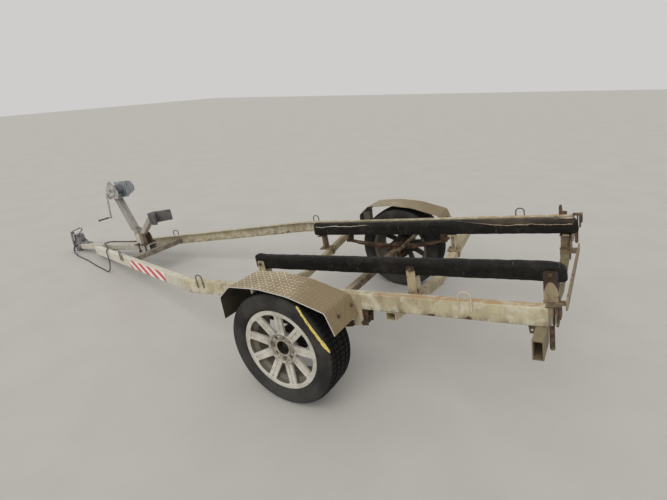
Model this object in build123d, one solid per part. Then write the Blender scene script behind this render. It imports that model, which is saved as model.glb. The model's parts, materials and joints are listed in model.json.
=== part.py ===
from build123d import *
import math
import os

# Boat trailer, single axle, drawbar resting on the ground. Millimetres.
# Row frame: +X towards the coupler, +Y to the left side, +Z up, floor at z = 0.
# Frame pieces are drawn level in a frame whose origin is the centre of the axle,
# then pitched nose down about the axle, the way the trailer rests when it is unhitched.

os.makedirs("parts", exist_ok=True)

# Stance
TYRE_R = 297.5            # height of the axle above the floor
PITCH = 8.69              # nose-down angle of the frame, degrees
X_SHIFT = -1000.241        # from the axle to the middle of the overall length

# Main frame, level
RAIL_Y = 613.6            # outside of the rail's web
RAIL_Z0, RAIL_Z1 = 155.0, 232.0
RAIL_W, RAIL_T = 38.0, 4.5
RAIL_REAR, RAIL_BEND = -1127.0, 785.0
ARM_ANGLE = 16.0
ARM_TIP = 2740.0
BEND_R = 160.0

BAR_W, BAR_H, BAR_T = 80.0, 50.0, 4.0
BAR_Z0 = 197.0
BAR_REAR, BAR_FRONT = 1930.0, 2992.0

# Cross-members
CROSS_TOP0, CROSS_SLOPE = 62.8, 0.15       # height of the top at the middle, rise per mm of y
CROSS_H = 40.0
STUB_X0, STUB_X1 = -1123.0, -1085.0        # box sections under the rear ends of the rails
STUB_Z0, STUB_IN, STUB_OUT = 79.0, 575.0, 715.0

# Wheels
WHEEL_Y = 721.5           # middle of the tyre
TYRE_W = 195.0
RIM_R = 206.5
SPOKES = 9
SPOKE_PHASE = 10.3        # angle of the first spoke above +X

# Bunks
BUNK_Y, BUNK_W = 318.0, 52.0
BUNK_Z0, BUNK_Z1 = 207.0, 305.0
BUNK_X0, BUNK_X1 = -1171.0, 491.0


def block(x0, x1, y0, y1, z0, z1):
    return Pos((x0 + x1) / 2, (y0 + y1) / 2, (z0 + z1) / 2) * Box(
        abs(x1 - x0), abs(y1 - y0), abs(z1 - z0))


def rod(x, y, z, r, length, axis="Y"):
    turn = {"X": Rot(0, 90, 0), "Y": Rot(90, 0, 0), "Z": Rot(0, 0, 0)}[axis]
    return Pos(x, y, z) * turn * Cylinder(r, length)


def plate_xz(points, y0, y1):
    """Flat plate with an outline in the x-z plane, between two y values."""
    face = make_face(Polyline(*[(x, 0, z) for x, z in points], close=True))
    return extrude(Pos(0, y0, 0) * face, amount=y1 - y0, dir=(0, 1, 0))


def plate_xy(points, z0, z1):
    face = make_face(Polyline(*[(x, y, 0) for x, y in points], close=True))
    return extrude(Pos(0, 0, z0) * face, amount=z1 - z0, dir=(0, 0, 1))


def plate_yz(points, x0, x1):
    face = make_face(Polyline(*[(0, y, z) for y, z in points], close=True))
    return extrude(Pos(x0, 0, 0) * face, amount=x1 - x0, dir=(1, 0, 0))


def mirrored(shape):
    return mirror(shape, about=Plane.XZ)


def pitched(shape):
    return Pos(X_SHIFT, 0, TYRE_R) * Rot(0, PITCH, 0) * shape


def save(name, shape, level=True):
    placed = pitched(shape) if level else Pos(X_SHIFT, 0, 0) * shape
    export_step(placed, f"parts/{name}.step")
    return placed


def joined(items):
    return Compound(children=list(items))


# Rails: one channel from the rear end, through the bend, to the drawbar
def channel_path():
    tip = (ARM_TIP, RAIL_Y - (ARM_TIP - RAIL_BEND) * math.tan(math.radians(ARM_ANGLE)))
    mid_z = (RAIL_Z0 + RAIL_Z1) / 2
    return FilletPolyline(
        (RAIL_REAR, RAIL_Y, mid_z), (RAIL_BEND, RAIL_Y, mid_z), (*tip, mid_z), radius=BEND_R)


def rail():
    h = RAIL_Z1 - RAIL_Z0
    outer = Pos(RAIL_W / 2, 0) * Rectangle(RAIL_W, h)
    outer = fillet(outer.vertices().sort_by(Axis.X)[:2], 5)
    hollow = Pos(RAIL_T + RAIL_W / 2, 0) * Rectangle(RAIL_W, h - 2 * RAIL_T)
    hollow = fillet(hollow.vertices().sort_by(Axis.X)[:2], 4)
    section = outer - hollow
    start = Plane(origin=(RAIL_REAR, RAIL_Y, (RAIL_Z0 + RAIL_Z1) / 2),
                  x_dir=(0, -1, 0), z_dir=(-1, 0, 0))
    bar = sweep(start * section, path=channel_path())
    return bar - block(1200, 3200, -BAR_W / 2, BAR_W / 2, 100, 300)


# Cross-members: square tube with a shallow V, under the rails
CROSS = {  # name: x of the middle, width along x, half length
    "cross_member_front": (384.0, 34.0, 556.4),
    "cross_member_middle": (-507.0, 48.0, RAIL_Y),
    "cross_member_rear": (-1104.0, 38.0, 578.0),
}


def cross_top(y):
    return CROSS_TOP0 + CROSS_SLOPE * abs(y)


def v_tube(x, width, half, wall=3.5):
    def solid(off):
        low = CROSS_H - off
        pts = [(half, cross_top(half) - off), (0, cross_top(0) - off),
               (-half, cross_top(half) - off), (-half, cross_top(half) - low),
               (0, cross_top(0) - low), (half, cross_top(half) - low)]
        return plate_yz(pts, x - width / 2 + off, x + width / 2 - off)
    return solid(0) - solid(wall)


def rear_stub():
    """Box section under the end of the rail, open at its outer end."""
    t = 4.0
    outer = block(STUB_X0, STUB_X1, STUB_IN, STUB_OUT, STUB_Z0, RAIL_Z0 - 0.1)
    return outer - block(STUB_X0 + t, STUB_X1 - t, STUB_IN, STUB_OUT, STUB_Z0 + t, RAIL_Z0 - t)


# Wheel pieces, drawn about the origin with the outer side towards +Y
def turned(points):
    """Solid turned about the Y axis from an outline of (radius, y) points."""
    face = make_face(Polyline(*[(r, y, 0) for r, y in points], close=True))
    return revolve(face, axis=Axis.Y)


def tyre():
    half, bead = TYRE_W / 2, 192.5
    with BuildSketch(Plane.XY) as sk:
        with BuildLine():
            Polyline((bead, 60), (bead, 78.4), (RIM_R + 0.7, 78.7), (RIM_R + 4, 88))
            ThreePointArc((RIM_R + 4, 88), (RIM_R + 42, half), (TYRE_R - 15, 86))
            ThreePointArc((TYRE_R - 15, 86), (TYRE_R - 5, 79), (TYRE_R - 1.5, 66))
            ThreePointArc((TYRE_R - 1.5, 66), (TYRE_R, 0), (TYRE_R - 1.5, -66))
            ThreePointArc((TYRE_R - 1.5, -66), (TYRE_R - 5, -79), (TYRE_R - 15, -86))
            ThreePointArc((TYRE_R - 15, -86), (RIM_R + 42, -half), (RIM_R + 4, -88))
            Polyline((RIM_R + 4, -88), (RIM_R + 0.7, -78.7), (bead, -78.4), (bead, -60))
            ThreePointArc((bead, -60), (TYRE_R - 14, 0), (bead, 60))
        make_face()
    return revolve(sk.sketch, axis=Axis.Y)


def rim():
    """Full-face cast wheel: the spokes reach the outer lip, each with a groove along it."""
    barrel = turned([
        (RIM_R, 84), (RIM_R, 79), (192, 78.5), (190, 54), (171, 42), (168, 8), (186, -26),
        (190, -54), (192, -78.5), (RIM_R, -79), (RIM_R, -84), (199, -84), (185, -79),
        (180, -28), (162, 6), (165, 47), (184, 59), (186, 79), (199, 84)])
    face = turned([
        (34, 22), (34, 58), (44, 61), (46.5, 52), (67.5, 52), (71, 64), (79, 67.5), (85, 64.5),
        (120, 70.5), (170, 78.5), (191, 83.5), (199, 83.8), (199, 80), (191, 79), (189, 74), (170, 68),
        (120, 59), (90, 52), (72, 22)])
    window = make_face(Polyline(
        (80, -7), (176, -42), (183, -24), (185.5, 0), (183, 24), (176, 42), (80, 7), close=True))
    window = extrude(fillet(window.vertices(), 4), amount=120)
    groove = Pos(137, 0, 69) * Rot(0, -9.4, 0) * extrude(SlotOverall(88, 9), amount=30)
    hole = Pos(57, 0, 0) * Cylinder(6.5, 160)
    outward = Rot(-90, 0, 0)
    step = 360 / SPOKES
    for i in range(SPOKES):
        turn = Rot(0, -SPOKE_PHASE - i * step, 0)
        face = face - turn * Rot(0, step / 2, 0) * outward * window
        face = face - turn * outward * groove
    for i in range(8):
        face = face - Rot(0, i * 45, 0) * outward * hole
    return barrel + face


def hub():
    drum = turned([(15.05, -84), (70, -84), (75, -79), (75, -20), (62, -12), (62, 22),
                   (22, 22), (22, 36), (16, 40), (0, 40), (0, 12), (15.05, 12)])
    return drum


# Axle and springs
AXLE_S = 45.0
SPRING_Y, SPRING_W = 585.0, 45.0
EYE_X, EYE_Z = 372.0, 92.0


def leaf(half, z_mid, thick, rise):
    """One leaf with a circular sag: z_mid is the top at the middle, rise the lift at its ends."""
    ends = z_mid + rise
    with BuildSketch(Plane.XZ.offset(-(SPRING_Y + SPRING_W / 2))) as sk:
        with BuildLine():
            ThreePointArc((-half, ends), (0, z_mid), (half, ends))
            Line((half, ends), (half, ends - thick))
            ThreePointArc((half, ends - thick), (0, z_mid - thick), (-half, ends - thick))
            Line((-half, ends - thick), (-half, ends))
        make_face()
    return extrude(sk.sketch, amount=SPRING_W)


def spring():
    table = ((EYE_X, 6.5), (300, 6.0), (230, 6.0), (150, 6.0))    # half length, thickness
    z = AXLE_S / 2 + sum(t for _, t in table)
    sag = EYE_Z - 9 - z
    leaves = []
    for half, thick in table:
        leaves.append(leaf(half, z, thick, sag * (half / EYE_X) ** 2))
        z -= thick
    pack = leaves[0]
    for part in leaves[1:]:
        pack = pack + part
    for sx in (-1, 1):
        eye = rod(sx * EYE_X, SPRING_Y, EYE_Z, 16, SPRING_W)
        bore = rod(sx * EYE_X, SPRING_Y, EYE_Z, 9, SPRING_W + 2)
        pack = (pack + eye) - bore
    return pack


def spring_hanger(x):
    """Folded hanger under the rail: two cheeks and a top plate, with the eye bolt."""
    half, t = SPRING_W / 2 + 1, 5.0
    cheeks = []
    for y0 in (SPRING_Y - half - t, SPRING_Y + half):
        outline = [(x - 26, RAIL_Z0), (x + 26, RAIL_Z0), (x + 15, EYE_Z - 16),
                   (x - 15, EYE_Z - 16)]
        cheeks.append(plate_xz(outline, y0, y0 + t))
    top = block(x - 26, x + 26, SPRING_Y - half - t, SPRING_Y + half + t, RAIL_Z0 - t, RAIL_Z0)
    bolt = rod(x, SPRING_Y, EYE_Z, 9, 2 * (half + t))
    return cheeks[0] + cheeks[1] + top + bolt


def axle_clamp():
    """Two U-bolts over the pad on top of the spring, through the plate under the axle."""
    top = AXLE_S / 2 + 25.4
    low = -AXLE_S / 2 - 8
    clamp = block(-45, 45, SPRING_Y - 33, SPRING_Y + 33, top, top + 8)
    clamp = clamp + block(-45, 45, SPRING_Y - 33, SPRING_Y + 33, low, low + 8)
    for x in (-33, 33):
        for y in (SPRING_Y - 27.6, SPRING_Y + 27.6):
            clamp = clamp + rod(x, y, (top + 11 + low - 14) / 2, 5, top + 25 - low, "Z")
            clamp = clamp + rod(x, y, low - 4, 8, 8, "Z")
        clamp = clamp + rod(x, SPRING_Y, top + 11, 5, 55.2)
    return clamp


def axle():
    half = 600
    beam = block(-AXLE_S / 2, AXLE_S / 2, -half, half, -AXLE_S / 2, AXLE_S / 2)
    beam = fillet(beam.edges().filter_by(Axis.Y), 5)
    for s in (1, -1):
        beam = beam + rod(0, s * (half + 15), 0, 21, 30)
        beam = beam + rod(0, s * (half + 80), 0, 15, 106)
    return beam


# Fenders: checker plate bent over the wheel, with a flap at each end
FENDER_IN, FENDER_OUT, FENDER_T = 626.0, 832.0, 2.5
FENDER_LINE = (  # x, z of the bend, radius of the bend
    (286, 150, 0), (283, 264, 22), (206, 325, 45), (30, 326, 320), (-135, 300, 320),
    (-318, 238, 22), (-352, 137, 0))


def fender():
    line = FilletPolyline(*[(x, 0, z) for x, z, _ in FENDER_LINE],
                          radius=[r for _, _, r in FENDER_LINE[1:-1]])
    sheet = make_face(offset(line, FENDER_T, side=Side.RIGHT, closed=True))
    return extrude(Pos(0, FENDER_IN, 0) * sheet, amount=FENDER_OUT - FENDER_IN, dir=(0, 1, 0))


def fender_stay(x, foot, top, reach, tab_z):
    """Flat strap bolted on the rail's web, with a tab bent outwards to the fender."""
    t, w = 5.0, 48.0
    strap = block(x - w / 2, x + w / 2, RAIL_Y, RAIL_Y + t, foot, top)
    if tab_z is None:
        tab = block(x - w / 2, x + w / 2, RAIL_Y, RAIL_Y + reach, top - t, top)
    else:
        tab = block(x + 15, x + 15 + t, RAIL_Y, RAIL_Y + reach, *tab_z)
    return strap + tab


# Bunks: padded boards with rounded ends, seen as soft covers in the render
def bunk():
    r = 22
    side = Pos((BUNK_X0 + BUNK_X1) / 2, (BUNK_Z0 + BUNK_Z1) / 2) * RectangleRounded(
        BUNK_X1 - BUNK_X0, BUNK_Z1 - BUNK_Z0, r)
    body = extrude(Plane.XZ.offset(-(BUNK_Y + BUNK_W / 2)) * side, amount=BUNK_W)
    return fillet(body.edges().filter_by(Axis.X), 7)


BRACKET_T = 5.0
BRACKET_IN, BRACKET_OUT = BUNK_Y - BUNK_W / 2, BUNK_Y + BUNK_W / 2


def bracket_plates(x0, x1, foot):
    """Angle against the board's outer side, with a shelf under the board."""
    t, y0, y1 = BRACKET_T, BRACKET_IN, BRACKET_OUT
    upright = block(x0, x1, y1, y1 + t, foot(y1) + 2, 264)
    upright = fillet(upright.edges().filter_by(Axis.Y).sort_by(Axis.Z)[-2:], 10)
    leg = plate_yz([(y0, foot(y0) + 2), (y1 + t, foot(y1 + t) + 2), (y1 + t, BUNK_Z0),
                    (y0, BUNK_Z0)], x0, x0 + t)
    shelf = block(x0, x1, y0, y1 + t, BUNK_Z0 - t, BUNK_Z0 - 0.1)
    bolt = rod((x0 + x1) / 2, y1 + t + 3, 248, 9, 6)
    return upright + leg + shelf + bolt


def u_strap(x, width, foot_x0, foot_x1):
    """Foot plate on a cross-member and the strap that goes round under it."""
    t, gap, half_y = 6.0, 0.3, 13.0
    side, low = width / 2 + gap, -CROSS_H - gap
    outer = block(-side - t, side + t, -half_y, half_y, low - t, 20)
    outer = fillet(outer.edges().filter_by(Axis.Y).sort_by(Axis.Z)[:2], 5)
    strap = outer - block(-side, side, -half_y, half_y, low, 30)
    foot = block(foot_x0 - x, foot_x1 - x, -29, 29, gap, BRACKET_T)
    y = (BRACKET_IN + BRACKET_OUT + BRACKET_T) / 2
    tilt = math.degrees(math.atan(CROSS_SLOPE))
    return Pos(x, y, cross_top(y)) * Rot(tilt, 0, 0) * (strap + foot)


def bunk_brackets():
    """A pair on each cross-member; the rear pair is tied by a flat bar behind the member."""
    front_x, front_w, _ = CROSS["cross_member_front"]
    mid_x, mid_w, _ = CROSS["cross_member_middle"]
    front = bracket_plates(410, 458, cross_top) + u_strap(front_x, front_w, 350, 458)
    middle = bracket_plates(-527, -483, cross_top) + u_strap(mid_x, mid_w, -545, -469)
    rear_x, rear_w, _ = CROSS["cross_member_rear"]
    rear = bracket_plates(-1134, -1079, cross_top) + u_strap(rear_x, rear_w, -1160.5, -1079)
    tie = block(-1168, -1160, -360, 360, 100, 140)
    return [front, middle, mirrored(front), mirrored(middle), rear + tie + mirrored(rear)]


# Lashing loops: bent round bar standing on the rail's web
LOOPS = ((675.0, 0.0), (-835.0, 0.0), (1972.0, ARM_ANGLE))       # x, turn with the arm


def web_y(x):
    return RAIL_Y if x < RAIL_BEND else RAIL_Y - (x - RAIL_BEND) * math.tan(math.radians(ARM_ANGLE))


def loop(x, turn):
    r, half, foot, top = 4.0, 24.0, 196.0, 274.0
    path = FilletPolyline((-half, 0, foot), (-half, 0, top), (half, 0, top), (half, 0, foot),
                          radius=21)
    wire = sweep(Pos(-half, 0, foot) * Circle(r), path=path)
    return Pos(x, web_y(x) + r + 0.2, 0) * Rot(0, 0, -turn) * wire


# Winch post and bow stop
POST_S = 50.0
POST_FOOT, POST_HEAD = (2052.0, 247.0), (2212.0, 652.0)      # the line of the upper tube
POST_LAP = 0.3235         # the upper tube starts here along that line
STUB_S = 48.0
POST_STUB_X0, POST_STUB_X1, POST_STUB_TOP = 2055.0, 2103.0, 385.0
ARM_S = 42.0
STOP_FOOT, STOP_HEAD = (2050.0, 306.0), (1815.0, 493.0)
WINCH_Z = POST_HEAD[1]    # underside of the winch base
DRUM_X, DRUM_Z = 2190.0, 722.0
CRANK_X, CRANK_Z = 2250.0, 691.0
CRANK_Y = 69.0
CRANK_LOW = (2289.0, 505.0)

# Coupler
BALL_X, BALL_Z, BALL_R = 3105.0, 203.0, 25.5
LIP_Z = 179.2


def leaning_tube(foot, head, width_x, width_y, wall, start=0.0, end=1.0):
    dx, dz = head[0] - foot[0], head[1] - foot[1]
    length = math.hypot(dx, dz)
    origin = (foot[0] + dx * start, 0, foot[1] + dz * start)
    frame = Plane(origin=origin, x_dir=(dz, 0, -dx), z_dir=(dx, 0, dz))
    section = RectangleRounded(width_x, width_y, 5)
    if wall:
        section = section - RectangleRounded(width_x - 2 * wall, width_y - 2 * wall, 2)
    return extrude(frame * section, amount=length * (end - start))


def post_clamp():
    """Base plate on the drawbar, a cheek each side of the post, two U-bolts round the bar."""
    top, t = BAR_Z0 + BAR_H, 5.0
    clamp = block(1945, 2112, -52, 52, top, top + 6)
    cheek = [(1955, top + 6), (2100, top + 6), (2100, 300), (2085, 330), (2040, 345),
             (1970, 338), (1955, 300)]
    for y0 in (STUB_S / 2 + 0.1, -STUB_S / 2 - 0.1 - t):
        clamp = clamp + plate_xz(cheek, y0, y0 + t)
    low = BAR_Z0 - 6
    for x in (1978, 2062):
        clamp = clamp + block(x - 13, x + 13, -52, 52, low, BAR_Z0)
        for y in (-45.5, 45.5):
            clamp = clamp + rod(x, y, (low - 10 + top + 16) / 2, 5, top + 26 - low, "Z")
            clamp = clamp + rod(x, y, top + 9.5, 9, 7, "Z") + rod(x, y, low - 3.5, 9, 7, "Z")
    return clamp


def post_stub():
    """Upright square tube on the base plate, cut to the end of the leaning post."""
    y, t = STUB_S / 2, 3.5
    low = BAR_Z0 + BAR_H + 6
    tube = block(POST_STUB_X0, POST_STUB_X1, -y, y, low, POST_STUB_TOP)
    tube = tube - block(POST_STUB_X0 + t, POST_STUB_X1 - t, -y + t, y - t, low, POST_STUB_TOP)
    above = leaning_tube(POST_FOOT, POST_HEAD, 200, 100, 0, POST_LAP, 0.6)
    return tube - above


def bow_stop():
    """Moulded block with a V notch that takes the bow."""
    outline = [(1846, -28), (1846, 28), (1740, 80), (1695, 84), (1688, 72), (1782, 0),
               (1688, -72), (1695, -84), (1740, -80)]
    body = plate_xy(outline, 428, 510)
    body = fillet(body.edges().filter_by(Axis.Z).sort_by(Axis.X)[:4], 4)
    return body - leaning_tube(STOP_FOOT, STOP_HEAD, ARM_S + 0.4, ARM_S + 0.4, 0)


# Winch: two side plates on a base, geared drum, crank on the near side
def winch_frame():
    """Folded frame: a base on the post and a plate on each side of the drum."""
    base = block(2126, 2264, -50, 50, WINCH_Z, WINCH_Z + 5)
    near = plate_xz([(2128, WINCH_Z + 5), (2264, WINCH_Z + 5), (2268, 738), (2206, 800),
                     (2180, 800), (2112, 706)], 45, 50)
    near = fillet(near.edges().filter_by(Axis.Y).sort_by(Axis.Z)[-6:], 8)
    far = plate_xz([(2126, WINCH_Z + 5), (2264, WINCH_Z + 5), (2284, 778), (2126, 778)],
                   -50, -45)
    frame = base + near + far
    return frame - rod(DRUM_X, 0, DRUM_Z, 9.05, 120) - rod(CRANK_X, 0, CRANK_Z, 8.05, 120)


def winch_gear_case():
    """Closed case on the crank side: a large round over the drum gear, a small one over the pinion."""
    large, small = rod(DRUM_X, 55, DRUM_Z, 47, 10), rod(CRANK_X, 55, CRANK_Z, 19, 10)
    dx, dz = CRANK_X - DRUM_X, CRANK_Z - DRUM_Z
    span = math.hypot(dx, dz)
    lean = math.atan2(dz, dx)
    side = math.acos((47 - 19) / span)
    ring = []
    for turn, (x, z), r in ((side, (DRUM_X, DRUM_Z), 47), (side, (CRANK_X, CRANK_Z), 19),
                            (-side, (CRANK_X, CRANK_Z), 19), (-side, (DRUM_X, DRUM_Z), 47)):
        ring.append((x + r * math.cos(lean + turn), z + r * math.sin(lean + turn)))
    case = large + small + plate_xz(ring, 50, 60)
    case = fillet(case.faces().sort_by(Axis.Y)[-1].edges(), 2.5)
    return case - rod(CRANK_X, 60, CRANK_Z, 8.05, 60) - rod(DRUM_X, 50, DRUM_Z, 9.05, 12)


def winch_guard():
    """D-shaped guard on the far plate, round at its rear end, with a slot."""
    guard = rod(2098, -55, 721, 58, 10) + block(2098, 2286, -60, -50, 648, 779)
    guard = guard - plate_xz([(2030, 640), (2150, 640), (2146, 656), (2066, 688), (2030, 700)],
                             -70, -40)
    slot = Pos(2112, -55, 736) * Rot(90, 0, 0) * Rot(0, 0, 66) * extrude(
        SlotOverall(44, 13), amount=30, both=True)
    peep = rod(2100, -55, 764, 5, 30) + rod(2080, -55, 750, 3.5, 30)
    axles = rod(DRUM_X, -50, DRUM_Z, 9.05, 12) + rod(CRANK_X, -50, CRANK_Z, 8.05, 12)
    return guard - slot - peep - axles


def winch_drum():
    spool = rod(DRUM_X, 0, DRUM_Z, 20, 76)
    for y in (-38.5, 38.5):
        spool = spool + rod(DRUM_X, y, DRUM_Z, 50, 3)
    return spool + rod(DRUM_X, 0, DRUM_Z, 9, 103)


def winch_strap():
    return rod(DRUM_X, 0, DRUM_Z, 38, 73.6) - rod(DRUM_X, 0, DRUM_Z, 20.05, 80)


def winch_crank():
    shaft = rod(CRANK_X, (CRANK_Y + 4 - 48) / 2, CRANK_Z, 8, CRANK_Y + 4 + 48)
    x, z = CRANK_LOW
    arm = plate_xz([(CRANK_X - 11, CRANK_Z), (CRANK_X + 11, CRANK_Z + 1), (x + 8, z),
                    (x - 8, z)], CRANK_Y - 3, CRANK_Y + 3)
    arm = arm + rod(CRANK_X, CRANK_Y, CRANK_Z, 14, 8) + rod(x, CRANK_Y, z, 11, 8)
    return shaft + arm + rod(x, CRANK_Y + 58, z, 4, 112)


def crank_grip():
    """Slim turned grip with a knob at its end."""
    grip = turned([(4.05, 22), (6, 22), (7, 40), (6.5, 88), (5.5, 96), (8, 100), (10, 106),
                   (8, 112), (4.05, 113)])
    return Pos(CRANK_LOW[0], CRANK_Y, CRANK_LOW[1]) * grip


# Coupler: pressed body over the end of the bar, ball socket open below
def coupler_body():
    """Pressed body in front of the bar, its tail a tapered tongue on top of the bar."""
    top, y = BAR_Z0 + BAR_H, BAR_W / 2
    tail = plate_xy([(2860, -13), (2860, 13), (2975, 36), (2994, 38), (2994, -38), (2975, -36)],
                    top, top + 8)
    shell = plate_xz([(2992.1, 212), (2992.1, 262), (3022, 277), (3108, 277), (3136, 262),
                      (3141, 232), (3134, 214), (3080, 206), (3020, 206)], -y, y)
    shell = fillet(shell.edges().filter_by(Axis.Y).sort_by(Axis.X)[-4:], 8)
    shell = shell & plate_xy([(2992.1, -y), (2992.1, y), (3085, y), (3125, 31), (3142, 18),
                              (3142, -18), (3125, -31), (3085, -y)], 100, 300)
    cup = Pos(BALL_X, 0, (LIP_Z + 215) / 2) * Cylinder(33, 215 - LIP_Z)
    body = tail + shell + cup
    body = body - Pos(BALL_X, 0, BALL_Z) * Sphere(BALL_R)
    return body - Pos(BALL_X, 0, BALL_Z - 25) * Cylinder(BALL_R, 50)


def coupler_latch():
    """Latch block on the body and the hand loop bent from round bar."""
    case = plate_xz([(2992, 277.1), (3094, 277.1), (3070, 341), (3002, 341)], -24, 30)
    case = fillet(case.edges().filter_by(Axis.Y).sort_by(Axis.Z)[-2:], 7)
    hand = FilletPolyline((3052, 34, 350), (3066, 34, 376), (2906, 34, 409), (2874, 34, 396),
                          (3012, 34, 328), radius=9)
    start = Plane(origin=hand @ 0, z_dir=hand % 0)
    return case + sweep(start * Circle(5), path=hand)


def coupler_lever():
    """Flat lever beside the body, from the hand loop down to the ground."""
    lever = plate_xz([(3040, 372), (3074, 376), (3100, 291), (3106, 219), (3128, 180),
                      (3118, 179), (3092, 219), (3068, 291)], 46, 52)
    return lever + rod(3056, 43, 358, 7, 6)


# Brackets behind the ends of the rails, and a tab on the right rail
def rear_bracket():
    """Stack of plates closing the end of the rail, with a lug hanging from it."""
    y0, y1 = 573.0, RAIL_Y
    cap = block(-1168, -1119, y0, y1, RAIL_Z1, RAIL_Z1 + 6)
    for x0, x1, low in ((-1146, -1141, 155), (-1160, -1152, 161), (-1168, -1162, 190)):
        cap = cap + block(x0, x1, y0, y1, low, RAIL_Z1 + 3)
    lug = plate_xz([(-1128, 157), (-1146, 157), (-1146, 66), (-1142, 60), (-1132, 60),
                    (-1128, 66)], 600, 606)
    tab = plate_xz([(-1084.8, RAIL_Z0 - 0.1), (-1060, RAIL_Z0 - 0.1), (-1064, 125),
                    (-1080, 125)], RAIL_Y - 5, RAIL_Y)
    return [cap + lug, tab - rod(-1072, RAIL_Y, 139, 5, 20)]


def axle_strut():
    """Round brace from the axle's upper face forward and up to a plate under the rail."""
    (x0, z0), (x1, z1), r = (-24.0, 8.0), (-196.0, 150.0), 13.0
    length = math.hypot(x1 - x0, z1 - z0)
    line = Plane(origin=(x0, 536, z0), z_dir=(x1 - x0, 0, z1 - z0))
    brace = extrude(line * Circle(r), amount=length)
    brace = brace - block(-40, AXLE_S / 2, 500, 580, -40, AXLE_S / 2 + 0.1)
    brace = brace - block(x0 + 1.4, 20, 500, 580, -60, 60)
    brace = brace - block(-260, -120, 500, 580, 149, 200)
    return brace + block(-232, -176, 522, 612, 149, 154.9)


# Cable: along the top of the drawbar, over the left rail, down to the ground and up again
CABLE_R = 4.5


def on_floor(x, lift=0.0):
    """Height of the cable's centre where it lies on the ground, in the level frame."""
    turn = math.radians(PITCH)
    return (CABLE_R + 0.4 + lift - TYRE_R + x * math.sin(turn)) / math.cos(turn)


CABLE = [
    (2112.2, -32, 251.7), (2205, -35, 251.7), (2320, -32, 251.7), (2430, -28, 251.8),
    (2525, -31, 252), (2578, -20, 253), (2592, 26, 256), (2552, 56, 255), (2490, 80, 250),
    (2426, 106, 245), (2366, 146, 242), (2322, 187, 243), (2302, 196, 170), (2300, 204, 125),
    (2300, 216, 84), (2326, 222, on_floor(2326, 4)), (2372, 214, on_floor(2372)),
    (2430, 202, on_floor(2430)), (2520, 190, on_floor(2520)), (2640, 166, on_floor(2640)),
    (2760, 140, on_floor(2760)), (2876, 126, on_floor(2876)), (2968, 112, on_floor(2968)),
    (3026, 100, on_floor(3026, 14)), (3050, 88, 215), (3054, 66, 236), (3054, 40.1, 236)]


def cable():
    points = [Vector(*p) for p in CABLE]
    radii, length = [], 0.0
    for a, b, c in zip(points, points[1:], points[2:]):
        turn = math.radians((b - a).get_angle(c - b))
        radii.append(0.45 * min((b - a).length, (c - b).length) / math.tan(turn / 2))
    path = FilletPolyline(*points, radius=radii)
    print("cable radii", [round(r) for r in radii], "length", round(path.length))
    start = Plane(origin=path @ 0, z_dir=path % 0)
    tube = sweep(start * Circle(CABLE_R), path=path)
    print("cable volume share", round(tube.volume / (path.length * math.pi * CABLE_R ** 2), 4))
    return tube


pieces = {}


def add(name, shape, level=True):
    pieces[name] = save(name, shape, level)


def add_pair(stem, shape, level=True):
    add(f"{stem}_left", shape, level)
    add(f"{stem}_right", mirrored(shape), level)


# Frame
add_pair("frame_rail", rail())
outer = RectangleRounded(BAR_H, BAR_W, 6)
inner = RectangleRounded(BAR_H - 2 * BAR_T, BAR_W - 2 * BAR_T, 3)
bar_end = Plane(origin=(BAR_REAR, 0, BAR_Z0 + BAR_H / 2), x_dir=(0, 0, 1), z_dir=(1, 0, 0))
add("drawbar", extrude(bar_end * (outer - inner), amount=BAR_FRONT - BAR_REAR))
tongue_half = web_y(1965.0) - RAIL_T - 4.0
tongue = block(1915, 1965, -tongue_half, tongue_half, RAIL_Z0 + RAIL_T, BAR_Z0)
add("tongue_crossbar", tongue)
for name, (x, width, half) in CROSS.items():
    member = v_tube(x, width, half)
    if name == "cross_member_rear":
        stub = rear_stub()
        member = member + stub + mirrored(stub)
    add(name, member)

# Running gear
add("axle_beam", axle())
add_pair("leaf_spring", spring())
hangers = [spring_hanger(x) for x in (-EYE_X, EYE_X)]
add("spring_hangers", joined(hangers + [mirrored(h) for h in hangers]))
clamp = axle_clamp()
add("axle_u_bolts", joined([clamp, mirrored(clamp)]))
for side, flip in (("left", lambda s: s), ("right", mirrored)):
    centre = Pos(0, WHEEL_Y, TYRE_R)
    add(f"tyre_{side}", flip(centre * tyre()), level=False)
    add(f"rim_{side}", flip(centre * rim()), level=False)
    add(f"hub_{side}", flip(centre * hub()), level=False)

# Fenders and bunks
add_pair("fender", fender())
add_pair("bunk", bunk())
add("bunk_brackets", joined(bunk_brackets()))
loops = [loop(x, turn) for x, turn in LOOPS]
add("lashing_loops", joined(loops + [mirrored(b) for b in loops]))

stays = [fender_stay(-345, 75, 205, 86, (150, 188)), fender_stay(215, 165, 288, 60, None)]
add("fender_stays", joined(stays + [mirrored(b) for b in stays]))
brackets = rear_bracket()
add("rear_brackets", joined(brackets + [mirrored(b) for b in brackets]))
strut = axle_strut()
add("axle_struts", joined([strut, mirrored(strut)]))
add("rail_tab", plate_xz([(-1089, RAIL_Z1), (-1047, RAIL_Z1), (-1047, 272), (-1051, 289),
                          (-1063, 289), (-1066, 252), (-1089, 250)], -RAIL_Y + 1, -RAIL_Y + 7))

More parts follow.
